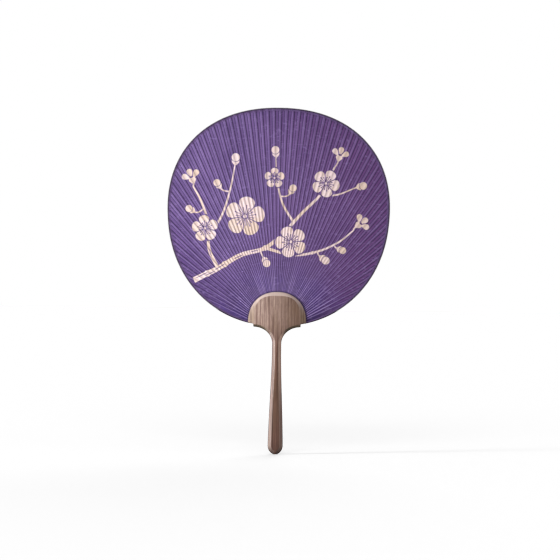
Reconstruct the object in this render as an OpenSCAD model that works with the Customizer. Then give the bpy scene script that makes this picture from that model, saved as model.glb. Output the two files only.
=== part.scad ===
// Round paper fan with an inserted wooden handle.
// The leaf stands upright over the handle: X is its width, Y its thickness, Z runs up.
// The origin is the lowest point of the handle, and the pictured side faces -Y.

/* [Leaf outline] */
// Height of the whole fan, from the end of the handle to the top of the leaf
overall_h = 370; // [340:1:400]
// Width of the leaf at its middle
leaf_w = 237; // [215:1:255]
// Height of the leaf from its lower edge to its top
leaf_h = 233; // [215:1:245]
// Roundness of the outline, where 2 is an ellipse and more is squarer
leaf_squareness = 2.18; // [2:0.02:2.4]
// Share by which the leaf is wider at its top than at its middle
leaf_top_heavy = 0.053; // [0:0.005:0.08]

/* [Ribs] */
// Pairs of ribs to the left and right of the middle one
rib_pairs = 32; // [16:1:36]
// Thickness of a rib
rib_t = 0.7; // [0.5:0.05:1]
// Width of a rib at its root, inside the handle
rib_root_w = 0.42; // [0.3:0.02:0.5]
// Width of the middle rib at the top of the leaf
rib_tip_w = 2.3; // [1.4:0.1:3]
// Depth below the leaf at which the lines of all ribs would meet
rib_focus_drop = 7.4; // [6:0.2:9]
// Distance from the outermost rib to the lower edge of the leaf
edge_rib_inset = 5; // [4:0.25:7]
// Share of the fan's angle that is divided evenly, the rest widens the outer gaps
rib_even_share = 0.815; // [0.75:0.005:0.9]
// Distance along a rib from its end to the rim
rib_end_gap = 1.2; // [0.8:0.1:2]

/* [Paper] */
// Thickness of each of the two sheets
paper_t = 0.16; // [0.1:0.02:0.24]
// Film of paste between a sheet and what it is glued to
paste_t = 0.03; // [0.02:0.01:0.06]
// Share of the half gap between two ribs in which the sheet slopes down
drape_share = 0.5; // [0.3:0.05:0.8]
// How far the sheet sinks between the ribs at their roots
root_dip = 0.08; // [0.04:0.02:0.14]
// Height of the strip that is cut off straight at the root of the leaf
root_trim = 1.6; // [1.2:0.1:2]

/* [Edge binding] */
// Width of the paper strip on each side of the rim
binding_w = 3; // [2:0.25:3.5]
// Thickness of the strip
binding_t = 0.12; // [0.08:0.02:0.2]
// Film of paste under the strip
binding_paste_t = 0.05; // [0.03:0.01:0.08]
// How far the ends of the strip are tucked into the handle
binding_tuck = 2.5; // [1.5:0.5:4]

/* [Handle stem] */
// Thickness of the board that the handle is cut from
board_t = 9.5; // [8:0.25:12]
// Widest part of the grip, near its end
grip_w = 15.6; // [14:0.2:20]
// Length of the rounded end below the widest part
grip_end_len = 9.2; // [7:0.2:12]
// Width of the neck, the narrowest part
neck_w = 9.2; // [8.6:0.2:12]
// Height at which the neck starts to spread into the shoulders
neck_z = 118; // [110:1:124]
// Length of the straight neck, from there down to where the stem starts to widen
neck_len = 12; // [4:1:30]
// Width of the sloping facet along the grip
grip_facet_w = 3.4; // [2.4:0.1:4]
// Width of the sloping facet along the neck
neck_facet_w = 2.9; // [2:0.1:3.2]
// Depth of the sloping facets, front to back
facet_depth = 2.6; // [1.6:0.1:3.4]

/* [Handle head] */
// Width across the shoulders
shoulder_w = 50; // [44:0.5:54]
// Height of the shoulders' lower edge
shoulder_z = 136; // [134:0.25:137]
// Width of the facet under the shoulders
shoulder_facet_w = 2.3; // [1:0.1:2.8]
// Width of the bevelled lip that lies on the leaf
lip_w = 62; // [57:0.5:68]
// Height of the top of the bevelled lip
lip_top_z = 173; // [168:0.2:178]
// Height of the top of the flat face
face_top_z = 169; // [164:0.2:172]
// Thickness of the head at the top of its flat face
crown_t = 7; // [6:0.1:8]
// Thickness of each lip at its thin edge
lip_edge_t = 0.8; // [0.5:0.05:1.2]
// Roundness of the lip's outline, where 2 is an ellipse
lip_squareness = 2.2; // [2:0.05:2.6]
// Roundness of the flat face's outline
face_squareness = 3.1; // [2.2:0.05:3.6]
// Small bevel on the upright edges of the shoulders
arris = 0.2; // [0.1:0.05:0.4]
// Clearance on each side of the leaf in the saw cut
kerf_fit = 0.05; // [0.02:0.01:0.1]
// Clearance below the root of the leaf in the saw cut
kerf_floor_fit = 0.25; // [0.1:0.05:0.4]

/* [Hidden] */
leaf_mid_z = overall_h - leaf_h / 2;
leaf_foot_z = overall_h - leaf_h;
focus_z = leaf_foot_z - rib_focus_drop;
far = leaf_w + leaf_h;
root_z = leaf_foot_z + root_trim;

// Levels of a sheet's inner side, measured from the middle of the leaf
ridge_y = rib_t / 2 + paste_t;
valley_y = paste_t / 2;
leaf_t = 2 * (ridge_y + paper_t);

// The saw cut that takes the root of the leaf
kerf_t = leaf_t + 2 * kerf_fit;
kerf_z = root_z - kerf_floor_fit;

// Steps of the curves
bisections = 22;
flank_steps = 8;
end_steps = 10;
stem_steps = 18;
flare_steps = 12;
dome_steps = 20;

// Turn at which the rounded end of the handle starts, beside the small flat at its tip
tip_turn = 9;

rib_count = 2 * rib_pairs + 1;
rib_row = [for (i = [-rib_pairs:rib_pairs]) i];
pair_names = [for (i = [1:rib_pairs]) str("rib_pair_", i < 10 ? "0" : "", i)];

// Outline of the leaf

// Point of the outline at the sweep angle t, which runs from the right over the top
function outline(t) =
    let (
        v = sign(sin(t)) * pow(abs(sin(t)), 2 / leaf_squareness),
        u = sign(cos(t)) * pow(abs(cos(t)), 2 / leaf_squareness)
    )
    [leaf_w / 2 * (1 + leaf_top_heavy * v) * u, leaf_mid_z + leaf_h / 2 * v];

// Below 1 inside the outline and above 1 outside it
function reach(p) =
    let (v = (p.y - leaf_mid_z) / (leaf_h / 2))
    pow(abs(p.x) / (leaf_w / 2 * (1 + leaf_top_heavy * v)), leaf_squareness)
        + pow(abs(v), leaf_squareness);

// Where the line from the inside point a to the outside point b leaves the leaf
function crossing(a, b, n = bisections) =
    let (m = (a + b) / 2)
    n == 0 ? m : reach(m) > 1 ? crossing(a, m, n - 1) : crossing(m, b, n - 1);

// Lower edge of the leaf at x
function lower_edge(x) = crossing([x, leaf_mid_z], [x, leaf_foot_z - 1]);

function unit(v) = v / norm(v);
function angle_from_focus(p) = atan2(p.x, p.y - focus_z);
function ray(a, r) = [r * sin(a), focus_z + r * cos(a)];

// The lines from the focus that just touch the lower edge, and the fan of ribs inside them
touch_angle = max([for (t = [-89:0.5:-1]) angle_from_focus(outline(t))]);
touch_r = min([for (t = [-89:0.5:-1]) if (angle_from_focus(outline(t)) > touch_angle - 0.02)
    norm(outline(t) - [0, focus_z])]);
fan_half = touch_angle - asin(edge_rib_inset / touch_r);
inside_r = touch_r * 0.75;

function rib_angle(i) =
    let (u = i / rib_pairs)
    fan_half * (rib_even_share * u + (1 - rib_even_share) * pow(u, 5));
function gap_angle(i) =
    let (k = min(abs(i), rib_pairs - 1))
    min(rib_angle(k + 1) - rib_angle(k), rib_angle(max(k, 1)) - rib_angle(max(k, 1) - 1));

// Ribs

// Ribs taper at one rate, whatever their length
top_r = overall_h - focus_z;
function rib_half_w(r) = (rib_root_w + (rib_tip_w - rib_root_w) * (r - root_r) / (top_r - root_r)) / 2;

// Half width of the ridge that the sheets form over a rib: at its top, and at its foot
function ridge_half(r) = rib_half_w(r) + paste_t;
function foot_half(i, r) =
    let (half_gap = r * gap_angle(i) * PI / 360)
    ridge_half(r) + drape_share * (half_gap - ridge_half(r));

// The roots lie on an arc whose ends are just inside the lower edge
root_margin = 2;
outer_angle = fan_half + gap_angle(rib_pairs) / 2;
root_r = norm(crossing(ray(outer_angle, inside_r), [0, focus_z]) - [0, focus_z]) + root_margin;
knee_share = 0.3;

// Angle from the focus of a line that keeps the offset e beside rib i, at the radius r
function beside(i, e, r) = rib_angle(i) + asin(e / r);
function rim_r(a) = norm(crossing(ray(a, inside_r), ray(a, far)) - [0, focus_z]);

// Radius at which the ridge's top edge or foot beside rib i meets the rim
function edge_half(i, top, r) = top ? ridge_half(r) : foot_half(i, r);
function edge_rim_r(i, side, top, r, n = 3) =
    n == 0 ? r : edge_rim_r(i, side, top, rim_r(beside(i, side * edge_half(i, top, r), r)), n - 1);

module rib(i) {
    edges = [for (side = [-1, 1])
        let (
            start_r = rim_r(rib_angle(i)),
            end_r = edge_rim_r(i, side, true, start_r) - rib_end_gap,
            root = root_r + paste_t
        )
        [
            ray(beside(i, side * rib_half_w(root), root), root),
            ray(beside(i, side * rib_half_w(end_r), end_r), end_r)
        ]];
    color("burlywood")
        rotate([90, 0, 0])
            linear_extrude(rib_t, center = true)
                polygon([edges[0][0], edges[0][1], edges[1][1], edges[1][0]]);
}

module rib_pair(i) {
    rib(-i);
    rib(i);
}

// Sheets of paper

// Lines of the pleats from root to rim: four beside each rib, its ridge between the inner two.
// Each holds its points at the root, the knee and the rim, with the level at each.
function pleat_line(i, side, top) =
    let (
        rim = edge_rim_r(i, side, top, rim_r(rib_angle(i))),
        knee = root_r + knee_share * (rim - root_r),
        outermost = i * side == rib_pairs,
        root_y = top ? ridge_y : outermost ? valley_y : ridge_y - root_dip,
        low_y = top ? ridge_y : valley_y,
        radii = [root_r, knee, rim],
        levels = [root_y, low_y, low_y]
    )
    [for (k = [0:2])
        let (p = ray(beside(i, side * edge_half(i, top, radii[k]), radii[k]), radii[k]))
        [p.x, levels[k], p.y]];

pleats = [for (i = rib_row)
    each [
        pleat_line(i, -1, false),
        pleat_line(i, -1, true),
        pleat_line(i, 1, true),
        pleat_line(i, 1, false)
    ]];
pleat_count = len(pleats);

// Foot of the sheets inside the handle, below each rib's root
function foot_point(x) = [x, valley_y, max(lower_edge(x).y, root_z)];
feet = [for (i = rib_row) foot_point(ray(rib_angle(i), root_r).x)];

// Rim of the flat flank under the outermost rib, from that rib's end down to the handle
tuck_x = lip_w / 2 - binding_tuck;
function sweep_angle_at(p, lo, hi, n = bisections) =
    let (m = (lo + hi) / 2)
    n == 0 ? m : outline(m).x < p.x ? sweep_angle_at(p, m, hi, n - 1) : sweep_angle_at(p, lo, m, n - 1);
last_rim = pleats[pleat_count - 1][2];
flank_from = sweep_angle_at([last_rim.x, last_rim.z], -89, -1);
flank_to = sweep_angle_at([tuck_x, 0], -89, -1);
flank_rim = [for (k = [1:flank_steps])
    let (p = outline(flank_from + (flank_to - flank_from) * k / flank_steps))
    [p.x, valley_y, p.y]];
flank = concat(flank_rim, [foot_point(pleats[pleat_count - 1][0].x)]);
function mirrored(points) = [for (p = points) [-p.x, p.y, p.z]];

// All points of a sheet's inner side
feet_at = 0;
root_at = feet_at + rib_count;
knee_at = root_at + pleat_count;
rim_at = knee_at + pleat_count;
right_at = rim_at + pleat_count;
left_at = right_at + len(flank);
sheet = concat(
    feet,
    [for (line = pleats) line[0]],
    [for (line = pleats) line[1]],
    [for (line = pleats) line[2]],
    flank,
    mirrored(flank)
);

// Triangles of the sheet, clockwise as seen from the front
root_faces = [for (k = [0:rib_count - 1])
    each [
        for (j = [0:2]) [feet_at + k, root_at + 4 * k + j, root_at + 4 * k + j + 1],
        if (k < rib_count - 1) [feet_at + k, root_at + 4 * k + 3, root_at + 4 * k + 4],
        if (k < rib_count - 1) [feet_at + k, root_at + 4 * k + 4, feet_at + k + 1]
    ]];
pleat_faces = [for (from = [root_at, knee_at], k = [0:pleat_count - 2])
    each [
        [from + k, from + pleat_count + k, from + pleat_count + k + 1],
        [from + k, from + pleat_count + k + 1, from + k + 1]
    ]];

// A flank is a fan of triangles from the outermost line's root, with one at its knee
function flank_faces(line, at, foot) =
    let (root = root_at + line, knee = knee_at + line, rim = rim_at + line, n = len(flank))
    concat(
        [[knee, rim, at], [root, knee, at]],
        [for (k = [0:n - 2]) [root, at + k, at + k + 1]],
        [[foot, root, at + n - 1]]
    );
function flipped(faces) = [for (f = faces) [for (k = [len(f) - 1:-1:0]) f[k]]];
sheet_faces = concat(
    root_faces,
    pleat_faces,
    flank_faces(pleat_count - 1, right_at, feet_at + rib_count - 1),
    flipped(flank_faces(0, left_at, feet_at))
);
sheet_loop = concat(
    [for (k = [0:pleat_count - 1]) rim_at + k],
    [for (k = [0:len(flank) - 1]) right_at + k],
    [for (k = [rib_count - 1:-1:0]) feet_at + k],
    [for (k = [len(flank) - 1:-1:0]) left_at + k]
);

module sheet_of_paper(side) {
    n = len(sheet);
    points = concat(
        [for (p = sheet) [p.x, side * (p.y + paper_t), p.z]],
        [for (p = sheet) [p.x, side * p.y, p.z]]
    );
    walls = [for (k = [0:len(sheet_loop) - 1])
        let (a = sheet_loop[k], b = sheet_loop[(k + 1) % len(sheet_loop)])
        [a, a + n, b + n, b]];
    faces = concat(sheet_faces, [for (f = flipped(sheet_faces)) [for (v = f) v + n]], walls);
    polyhedron(points, side < 0 ? faces : flipped(faces), convexity = 10);
}

module front_paper() {
    color("rebeccapurple") sheet_of_paper(-1);
}

module back_paper() {
    color("rebeccapurple") sheet_of_paper(1);
}

// Edge binding

// Each line holds the rim's point, the direction inwards along the pleat, and its length
function inward(rim, from) =
    let (v = [from.x - rim.x, from.z - rim.z])
    [rim, unit(v), norm(v)];
root_end = pleats[pleat_count - 1][0];
right_lines = [for (p = flank_rim) inward(p, root_end)];
left_lines = [for (k = [flank_steps - 1:-1:0])
    inward(mirrored(flank_rim)[k], mirrored([root_end])[0])];
binding_lines = concat(left_lines, [for (line = pleats) inward(line[2], line[0])], right_lines);

// Square to the outline, pointing out
function outward(p) =
    let (
        step = 0.01,
        dx = reach([p.x + step, p.z]) - reach([p.x - step, p.z]),
        dz = reach([p.x, p.z + step]) - reach([p.x, p.z - step])
    )
    unit([dx, dz]);

// The strip's section: out along the front, round the rim, back, and inside again
function binding_section(line) =
    let (
        rim = [line[0].x, line[0].z],
        out = outward(line[0]),
        lean = max(-line[1] * out, 0.05),
        inner = rim + line[1] * min(binding_w / lean, line[2] * 0.8),
        under = line[0].y + paper_t + binding_paste_t,
        over = under + binding_t,
        near = rim + out * binding_paste_t,
        edge = near + out * binding_t
    )
    [
        [inner.x, -over, inner.y],
        [edge.x, -over, edge.y],
        [edge.x, over, edge.y],
        [inner.x, over, inner.y],
        [inner.x, under, inner.y],
        [near.x, under, near.y],
        [near.x, -under, near.y],
        [inner.x, -under, inner.y]
    ];

// A closed skin over a row of like sections, whose ends are covered by the given faces
module loft(sections, end_faces) {
    n = len(sections[0]);
    last = (len(sections) - 1) * n;
    sides = [for (s = [0:len(sections) - 2], k = [0:n - 1])
        let (a = s * n + k, b = s * n + (k + 1) % n)
        [a, b, b + n, a + n]];
    polyhedron(
        [for (s = sections) each s],
        concat(sides, flipped(end_faces), [for (f = end_faces) [for (v = f) v + last]]),
        convexity = 10
    );
}

module edge_binding() {
    color("indigo")
        loft(
            [for (line = binding_lines) binding_section(line)],
            [[0, 1, 6, 7], [1, 2, 5, 6], [2, 3, 4, 5]]
        );
}

// Handle

// Right-hand edge of the stem from its end up to the corner of the shoulder
end_edge = [for (k = [0:end_steps - 1])
    let (t = tip_turn + (90 - tip_turn) * k / end_steps)
    [grip_w / 2 * sin(t), grip_end_len * (1 - cos(t) / cos(tip_turn))]];
taper_z = neck_z - neck_len;
stem_edge = [for (k = [0:stem_steps])
    let (u = 1 - k / stem_steps, swell = (u + u * u * (3 - 2 * u)) / 2)
    [neck_w / 2 + (grip_w - neck_w) / 2 * swell, taper_z - (taper_z - grip_end_len) * u]];
flare_edge = [for (k = [0:flare_steps])
    let (t = 90 * k / flare_steps)
    [
        shoulder_w / 2 - (shoulder_w - neck_w) / 2 * cos(t),
        neck_z + (shoulder_z - neck_z) * sin(t)
    ]];
stem = concat(end_edge, stem_edge, flare_edge);
stem_last = len(stem) - 1;

// The facet beside that edge is measured square to it
function facet_w(z) = lookup(z, [
    [0, grip_facet_w], [neck_z, neck_facet_w], [shoulder_z, shoulder_facet_w]
]);
function along(k) = k == stem_last ? [1, 0] : unit(stem[k + 1] - stem[max(k - 1, 0)]);
function across(k) = [-along(k).y, along(k).x];

// Half thickness of the board, which is planed thinner towards the crown
shoulder_top = lower_edge(shoulder_w / 2).y;
face_z = shoulder_top + 3 * arris;
function half_t(z) = lookup(z, [[face_z, board_t / 2], [face_top_z, crown_t / 2]]);

// A section of the handle: the edge and the flat face, at right and left, front and back
function handle_section(edge, edge_y, face, face_y) = [
    [face.x, -face_y, face.y],
    [edge.x, -edge_y, edge.y],
    [edge.x, edge_y, edge.y],
    [face.x, face_y, face.y],
    [-face.x, face_y, face.y],
    [-edge.x, edge_y, edge.y],
    [-edge.x, -edge_y, edge.y],
    [-face.x, -face_y, face.y]
];

stem_sections = [for (k = [0:stem_last])
    let (face = stem[k] + across(k) * facet_w(stem[k].y))
    handle_section(stem[k], board_t / 2 - facet_depth, face, board_t / 2)];
shoulder_section = handle_section(
    [shoulder_w / 2, shoulder_top],
    board_t / 2 - arris,
    [shoulder_w / 2 - arris, shoulder_top + 2 * arris],
    board_t / 2
);

// A quarter of a rounded outline above z, from its side at t = 0 to its top
function dome(w, z, top, squareness, t) = [
    w / 2 * pow(cos(t), 2 / squareness),
    z + (top - z) * pow(sin(t), 2 / squareness)
];
lip_z = lower_edge(lip_w / 2).y;
lip_y = kerf_t / 2 + lip_edge_t;
head_sections = [for (k = [0:dome_steps])
    let (
        t = 89 * k / dome_steps,
        lip = dome(lip_w, lip_z, lip_top_z, lip_squareness, t),
        face = dome(shoulder_w - 2 * arris, face_z, face_top_z, face_squareness, t)
    )
    handle_section(lip, lip_y, face, half_t(face.y))];

module handle() {
    color("rosybrown")
        difference() {
            loft(
                concat(stem_sections, [shoulder_section], head_sections),
                [[0, 1, 6, 7], [1, 2, 5, 6], [2, 3, 4, 5]]
            );
            translate([-lip_w, -kerf_t / 2, kerf_z])
                cube([2 * lip_w, kerf_t, overall_h]);
        }
}

handle();
front_paper();
back_paper();
edge_binding();
rib(0);  // rib_center
for (i = [1:rib_pairs]) rib_pair(i);
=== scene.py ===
# Round paper fan: paper, pattern, rim strip and carved handle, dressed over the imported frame.
import math
from functools import partial

import bpy
import numpy as np
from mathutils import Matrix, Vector
from mathutils.geometry import delaunay_2d_cdt


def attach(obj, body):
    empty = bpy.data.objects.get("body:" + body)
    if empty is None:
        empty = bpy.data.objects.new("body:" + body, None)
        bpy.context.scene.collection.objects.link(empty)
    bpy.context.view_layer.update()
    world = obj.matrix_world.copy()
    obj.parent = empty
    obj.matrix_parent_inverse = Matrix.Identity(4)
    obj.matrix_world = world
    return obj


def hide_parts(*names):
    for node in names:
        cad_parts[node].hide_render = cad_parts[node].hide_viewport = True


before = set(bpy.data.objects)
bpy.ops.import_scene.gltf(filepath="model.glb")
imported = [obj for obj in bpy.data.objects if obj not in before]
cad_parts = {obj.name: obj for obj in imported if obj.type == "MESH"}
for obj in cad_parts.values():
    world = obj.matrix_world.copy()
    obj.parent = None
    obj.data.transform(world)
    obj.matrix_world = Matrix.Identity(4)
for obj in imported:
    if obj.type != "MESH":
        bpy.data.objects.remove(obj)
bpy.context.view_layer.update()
print("frame loaded,", len(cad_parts), "nodes")


def srgb(red, green, blue):
    # a colour as seen on screen, 0 to 255, as the linear value that Blender wants
    def linear(c):
        c /= 255
        return c / 12.92 if c <= 0.04045 else ((c + 0.055) / 1.055) ** 2.4
    return (linear(red), linear(green), linear(blue), 1.0)


def tones(*colours):
    return [srgb(*colour) for colour in colours]


def feed(socket, value):
    # links a socket, or sets a plain number, vector, colour or word
    if isinstance(value, bpy.types.NodeSocket):
        socket.id_data.links.new(value, socket)
    else:
        socket.default_value = value


def feedAll(inputs, given):
    for name, value in given.items():
        feed(inputs[name], value)


def setUp(thing, **settings):
    for name, value in settings.items():
        setattr(thing, name, value)
    return thing


def addNode(tree, kind, given=None, **settings):
    made = setUp(tree.nodes.new(kind), **settings)
    feedAll(made.inputs, given or {})
    return made


def calc(operation, *values, clamp=False):
    # works in the node tree that its first socket belongs to
    tree = next(v.id_data for v in values if isinstance(v, bpy.types.NodeSocket))
    return addNode(tree, "ShaderNodeMath", dict(enumerate(values)), operation=operation,
                   use_clamp=clamp).outputs[0]


plus, minus, times, over, larger, timesPlus = [
    partial(calc, kind) for kind in ("ADD", "SUBTRACT", "MULTIPLY", "DIVIDE", "MAXIMUM", "MULTIPLY_ADD")]


def ramp(value, low, high, toLow=0.0, toHigh=1.0, kind="SMOOTHSTEP"):
    given = {"Value": value, "From Min": low, "From Max": high, "To Min": toLow, "To Max": toHigh}
    return addNode(value.id_data, "ShaderNodeMapRange", given, interpolation_type=kind).outputs["Result"]


def blend(share, first, second, mode="MIX"):
    return addNode(share.id_data, "ShaderNodeMix", {0: share, 6: first, 7: second},
                   data_type="RGBA", blend_type=mode).outputs[2]


def layered(colour, *coats):
    # lays further colours over the first, each by its own share
    for share, tone in coats:
        colour = blend(share, colour, tone)
    return colour


def blendValue(share, first, second):
    return addNode(share.id_data, "ShaderNodeMix", {0: share, 2: first, 3: second},
                   data_type="FLOAT").outputs[0]


def noise(vector, scale, detail=3.0, roughness=0.5, distortion=0.0):
    given = {"Vector": vector, "Scale": scale, "Detail": detail, "Roughness": roughness,
             "Distortion": distortion}
    return addNode(vector.id_data, "ShaderNodeTexNoise", given).outputs["Fac"]


def stretch(vector, scale, turn=(0, 0, 0), shift=(0, 0, 0)):
    given = {"Vector": vector, "Scale": scale, "Rotation": turn, "Location": shift}
    return addNode(vector.id_data, "ShaderNodeMapping", given).outputs["Vector"]


def longNoise(vector, size, detail, roughness=0.5, shift=(0, 0, 0), scale=1.0):
    return noise(stretch(vector, size, shift=shift), scale, detail, roughness)


def split(vector):
    return addNode(vector.id_data, "ShaderNodeSeparateXYZ", {0: vector}).outputs


def combine(tree, **parts):
    return addNode(tree, "ShaderNodeCombineXYZ", parts).outputs[0]


def groupTree(name, kind, takes, gives):
    # a node group with named inputs and outputs
    tree = bpy.data.node_groups.new(name, kind)
    for way, sockets in (("INPUT", takes), ("OUTPUT", gives)):
        for label, sort, *default in sockets:
            made = tree.interface.new_socket(name=label, in_out=way, socket_type="NodeSocket" + sort)
            if default:
                made.default_value = default[0]
    return tree, addNode(tree, "NodeGroupInput").outputs, addNode(tree, "NodeGroupOutput").inputs


def useGroup(tree, group, given):
    kind = "GeometryNodeGroup" if tree.bl_idname == "GeometryNodeTree" else "ShaderNodeGroup"
    return addNode(tree, kind, given, node_tree=group).outputs


def newMesh(name, points, faces, materials=(), kinds=()):
    mesh = bpy.data.meshes.new(name)
    mesh.from_pydata(points, [], faces)
    for material in materials:
        mesh.materials.append(material)
    if kinds:
        mesh.polygons.foreach_set("material_index", kinds)
    return mesh


def storeFact(mesh, name, values, domain="POINT"):
    # one number, or one row of three, for each point, face or corner of a mesh
    values = np.asarray(values, np.float32)
    kind, key = ("FLOAT_VECTOR", "vector") if values.ndim == 2 else ("FLOAT", "value")
    mesh.attributes.new(name, kind, domain).data.foreach_set(key, values.ravel())


def addObject(name, data, **settings):
    made = setUp(bpy.data.objects.new(name, data), **settings)
    bpy.context.scene.collection.objects.link(made)
    return made


def evaluated(name, source):
    # what the modifiers of an object make, as a plain mesh object that takes its place
    bpy.context.view_layer.update()
    graph = bpy.context.evaluated_depsgraph_get()
    made = bpy.data.meshes.new_from_object(source.evaluated_get(graph))
    made.name = name
    bpy.data.objects.remove(source)
    return addObject(name, made)


# lengths in metres, turns in degrees
leaf = {
    "width": 0.237,
    "height": 0.233,
    "top": 0.37,
    "squareness": 2.18,
    "topHeavy": 0.053,       # how much wider than its middle the top is, as a share
    "focusDrop": 0.0074,     # the ribs point at a spot this far below the leaf
    "rootTrim": 0.0016,
    "ribPairs": 32,
    "edgeRibInset": 0.005,
    "evenShare": 0.815,      # the rest of the ribs' spacing grows towards the sides
    "ribThickness": 0.0007,
    "ribRootWidth": 0.00042,
    "ribTipWidth": 0.0023,
    "paste": 0.00003,
    "paper": 0.00016,
    "rootDip": 0.00008,
    "kneeShare": 0.3,        # part of a rib's length over which the valleys fill up towards the root
    "rootMargin": 0.002,
}
leafMid = leaf["top"] - leaf["height"] / 2
leafFoot = leaf["top"] - leaf["height"]
focus = leafFoot - leaf["focusDrop"]
rootCut = leafFoot + leaf["rootTrim"]
ridgeLevel = leaf["ribThickness"] / 2 + leaf["paste"]
valleyLevel = leaf["paste"] / 2
leafThickness = 2 * (ridgeLevel + leaf["paper"])


def outline(sweep):
    s, c = np.sin(sweep), np.cos(sweep)
    v = np.sign(s) * np.abs(s) ** (2 / leaf["squareness"])
    u = np.sign(c) * np.abs(c) ** (2 / leaf["squareness"])
    x = leaf["width"] / 2 * (1 + leaf["topHeavy"] * v) * u
    return np.stack([x, leafMid + leaf["height"] / 2 * v], -1)


def reach(p):
    # below 1 inside the outline, above 1 outside it
    v = (p[..., 1] - leafMid) / (leaf["height"] / 2)
    half = leaf["width"] / 2 * (1 + leaf["topHeavy"] * v)
    n = leaf["squareness"]
    return (np.abs(p[..., 0]) / half) ** n + np.abs(v) ** n


def crossing(inside, outside, halvings=30):
    # where the way from a point inside to one outside meets the outline
    inside, outside = np.array(inside, float), np.array(outside, float)
    for _ in range(halvings):
        middle = (inside + outside) / 2
        out = (reach(middle) > 1)[..., None]
        outside = np.where(out, middle, outside)
        inside = np.where(out, inside, middle)
    return (inside + outside) / 2


def lowerEdge(x):
    return float(crossing([x, leafMid], [x, leafFoot - 0.001])[1])


def ray(angle, radius):
    return np.stack([radius * np.sin(angle), focus + radius * np.cos(angle)], -1)


def polar(points):
    x, z = points[..., 0], points[..., 1] - focus
    return np.arctan2(x, z), np.hypot(x, z)


# the outermost ribs lie just inside the line from the focus that touches the leaf's side
lowerAngles, lowerRadii = polar(outline(np.radians(np.arange(-89, -0.9, 0.5))))
touchAngle = lowerAngles.max()
touchRadius = lowerRadii[lowerAngles > touchAngle - math.radians(0.02)].min()
fanHalf = touchAngle - math.asin(leaf["edgeRibInset"] / touchRadius)
insideRadius = touchRadius * 0.75
ribs = np.arange(-leaf["ribPairs"], leaf["ribPairs"] + 1)


def ribAngle(i):
    u = i / leaf["ribPairs"]
    return fanHalf * (leaf["evenShare"] * u + (1 - leaf["evenShare"]) * u ** 5)


def gapAngle(i):
    k = np.minimum(np.abs(i), leaf["ribPairs"] - 1)
    j = np.maximum(k, 1)
    return np.minimum(ribAngle(k + 1) - ribAngle(k), ribAngle(j) - ribAngle(j - 1))


outerAngle = fanHalf + gapAngle(leaf["ribPairs"]) / 2
rootRadius = math.dist(crossing(ray(outerAngle, insideRadius), [0, focus]), [0, focus])
rootRadius += leaf["rootMargin"]
topRadius = leaf["top"] - focus


def ribHalf(r):
    grow = (leaf["ribTipWidth"] - leaf["ribRootWidth"]) / (topRadius - rootRadius)
    return (leaf["ribRootWidth"] + grow * (r - rootRadius)) / 2


def rimRadius(angle):
    far = leaf["width"] + leaf["height"]
    return polar(crossing(ray(angle, insideRadius * np.ones_like(angle)), ray(angle, far)))[1]


ribRim = rimRadius(ribAngle(ribs))
ribBorders = (ribAngle(ribs)[1:] + ribAngle(ribs)[:-1]) / 2


def pleatFacts(points):
    # what the folding rule needs at each point: distance to its rib, the ridge, the gap, the root
    angle, radius = polar(points)
    slot = np.searchsorted(ribBorders, angle)
    rib = ribs[slot]
    away = angle - ribAngle(rib)
    radiusOut = np.maximum(radius, rootRadius)
    knee = rootRadius + leaf["kneeShare"] * (ribRim[slot] - rootRadius)
    nearRoot = np.clip((knee - radius) / (knee - rootRadius), 0, 1)
    outside = (away * rib > 0) & (np.abs(rib) == leaf["ribPairs"])
    return {
        "across": radius * np.abs(np.sin(away)),
        "ridgeHalf": ribHalf(radiusOut) + leaf["paste"],
        "halfGap": radiusOut * gapAngle(rib) / 2,
        "nearRoot": np.where(outside, 0, nearRoot),
        "rays": np.stack([angle, radius, np.zeros(len(points))], -1),
    }


def tubeFaces(count, around):
    # four-sided faces between the rings of a tube
    return [(s * around + k, (s + 1) * around + k,
             (s + 1) * around + (k + 1) % around, s * around + (k + 1) % around)
            for s in range(count - 1) for k in range(around)]


# a carved board, stained, with its facets cut back to paler wood
handle = {
    "boardThick": 0.0095,
    "gripWidth": 0.0156,
    "gripEnd": 0.0092,       # height of the rounded end
    "tipTurn": 9,
    "neckWidth": 0.0092,
    "neckHeight": 0.118,
    "neckLength": 0.012,
    "gripFacet": 0.0034,     # widths of the long facets, at the grip, the neck and the shoulder
    "neckFacet": 0.0029,
    "shoulderFacet": 0.0023,
    "facetDepth": 0.0026,
    "shoulderWidth": 0.05,
    "shoulderHeight": 0.136,
    "lipWidth": 0.062,
    "lipTop": 0.173,
    "faceTop": 0.169,
    "crownThick": 0.007,
    "lipEdge": 0.0008,
    "lipSquareness": 2.2,
    "faceSquareness": 3.1,
    "arris": 0.0002,
    "kerfFit": 0.00005,
    "kerfFloorFit": 0.00025,
    "softEdge": 0.00028,
    "bevelFrom": 16,         # edges that turn less than this stay as they are
    "sharpFrom": 28,
    "endSteps": 12,
    "stemSteps": 36,
    "flareSteps": 22,
    "domeSteps": 40,
}

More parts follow.
